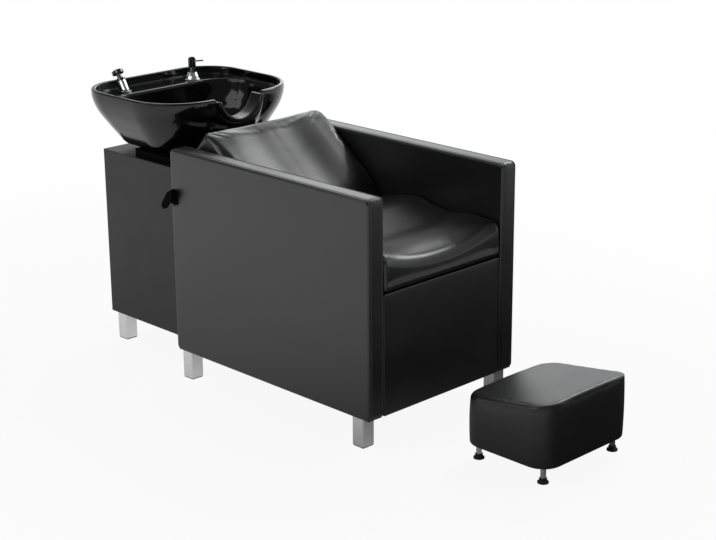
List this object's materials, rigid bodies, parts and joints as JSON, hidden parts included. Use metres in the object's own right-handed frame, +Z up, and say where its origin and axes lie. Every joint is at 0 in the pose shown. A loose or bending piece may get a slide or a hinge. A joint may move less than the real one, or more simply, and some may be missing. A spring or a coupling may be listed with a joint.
{
  "type": "hair washing bed",
  "caption": "Salon hair washing bed: armchair with sloped back, sliding seat, cabinet with a tilting glossy bowl, mixer tap and hand shower, and a separate wedge footstool.",
  "frame": {"origin": "on the floor, at the middle of the whole box", "axes": "+X across to the side without the lever, +Y from the footstool to the bowl, +Z up"},
  "size_m": [0.6414, 1.8872, 0.9013],
  "materials": {
    "black_upholstery": "satin",
    "timber_frame": "matte",
    "black_panel": "satin",
    "black_gloss": "gloss",
    "neck_pad": "satin",
    "chrome_fitting": "polished",
    "leg_metal": "satin",
    "steel_hardware": "brushed",
    "black_plastic": "matte",
    "waste_plastic": "matte"
  },
  "bodies": {
    "frame": {"bowl_base": "black_plastic", "cabinet_far_side": "black_panel", "cabinet_floor": "black_panel", "cabinet_near_side": "black_panel", "cabinet_top": "black_panel", "far_arm_cover": "black_upholstery", "far_arm_panel": "timber_frame", "far_cabinet_leg": "leg_metal", "far_front_leg": "leg_metal", "far_rear_leg": "leg_metal", "front_cross_rail": "timber_frame", "front_panel_board": "timber_frame", "front_panel_cover": "black_upholstery", "leg_glides": "black_plastic", "lever_bush": "black_plastic", "lever_plate": "black_plastic", "near_arm_cover": "black_upholstery", "near_arm_panel": "timber_frame", "near_cabinet_leg": "leg_metal", "near_front_leg": "leg_metal", "near_rear_leg": "leg_metal", "rear_cross_rail": "timber_frame", "rear_panel": "black_panel", "service_panel": "black_panel", "service_panel_screws": "steel_hardware", "slide_channels": "steel_hardware", "tilt_bracket_fixed": "steel_hardware", "tilt_pin": "steel_hardware"},
    "seat_carriage": {"slide_runners": "steel_hardware", "seat_board": "timber_frame", "seat_cushion": "black_upholstery", "back_cushion": "black_upholstery", "back_board": "timber_frame", "back_brackets": "steel_hardware", "clamp_bar": "steel_hardware"},
    "release_lever": {"side_lever": "black_plastic", "lever_shaft": "steel_hardware", "clamp_cam": "steel_hardware"},
    "wash_bowl": {"bowl_shell": "black_gloss", "neck_rest": "neck_pad", "tilt_bracket_bowl": "steel_hardware", "drain_body": "chrome_fitting", "drain_nut": "waste_plastic", "waste_tail": "waste_plastic", "mixer_flange": "chrome_fitting", "mixer_body": "chrome_fitting", "deck_nuts": "steel_hardware", "shower_holder": "chrome_fitting"},
    "tap_cap": {"mixer_cap": "chrome_fitting"},
    "tap_lever": {"mixer_lever": "chrome_fitting"},
    "shower_head": {"hand_shower": "chrome_fitting", "spray_face": "black_plastic"},
    "strainer": {"drain_strainer": "chrome_fitting"},
    "footstool": {"stool_cushion": "black_upholstery", "stool_board": "timber_frame", "stool_stems": "chrome_fitting"},
    "foot_front_near": {"stool_foot_front_near": "black_plastic"},
    "foot_front_far": {"stool_foot_front_far": "black_plastic"},
    "foot_rear_near": {"stool_foot_rear_near": "black_plastic"},
    "foot_rear_far": {"stool_foot_rear_far": "black_plastic"}
  },
  "joints": [
    {"name": "seat_slide", "type": "slide", "parent": "frame", "child": "seat_carriage", "axis": [0, -1, 0], "range_m": [0, 0.08]},
    {"name": "lever_turn", "type": "hinge", "parent": "frame", "child": "release_lever", "pos_m": [-0.29935, 0.4125, 0.6], "axis": [1, 0, 0], "range_deg": [0, 40]},
    {"name": "bowl_tilt", "type": "hinge", "parent": "frame", "child": "wash_bowl", "pos_m": [0.01065, 0.5325, 0.66], "axis": [1, 0, 0], "range_deg": [0, 12]},
    {"name": "tap_swivel", "type": "hinge", "parent": "wash_bowl", "child": "tap_cap", "pos_m": [0.15265, 0.8665, 0.8693], "axis": [0, 0, 1], "range_deg": [-45, 45]},
    {"name": "tap_lift", "type": "hinge", "parent": "tap_cap", "child": "tap_lever", "pos_m": [0.15265, 0.8665, 0.8873], "axis": [-1, 0, 0], "range_deg": [0, 25]},
    {"name": "shower_pull", "type": "slide", "parent": "wash_bowl", "child": "shower_head", "axis": [0, 0.5299, 0.848], "range_m": [0, 0.2]},
    {"name": "strainer_lift", "type": "slide", "parent": "wash_bowl", "child": "strainer", "axis": [0, 0, 1], "range_m": [0, 0.05]},
    {"name": "footstool_slide", "type": "slide", "parent": "frame", "child": "footstool", "axis": [0, 1, 0], "range_m": [-0.2, 0.15]},
    {"name": "foot_front_near_turn", "type": "hinge", "parent": "footstool", "child": "foot_front_near", "pos_m": [-0.10535, -0.9045, 0.008], "axis": [0, 0, 1], "continuous": true},
    {"name": "foot_front_far_turn", "type": "hinge", "parent": "footstool", "child": "foot_front_far", "pos_m": [0.20065, -0.9045, 0.008], "axis": [0, 0, 1], "continuous": true},
    {"name": "foot_rear_near_turn", "type": "hinge", "parent": "footstool", "child": "foot_rear_near", "pos_m": [-0.10535, -0.6715, 0.008], "axis": [0, 0, 1], "continuous": true},
    {"name": "foot_rear_far_turn", "type": "hinge", "parent": "footstool", "child": "foot_rear_far", "pos_m": [0.20065, -0.6715, 0.008], "axis": [0, 0, 1], "continuous": true}
  ]
}
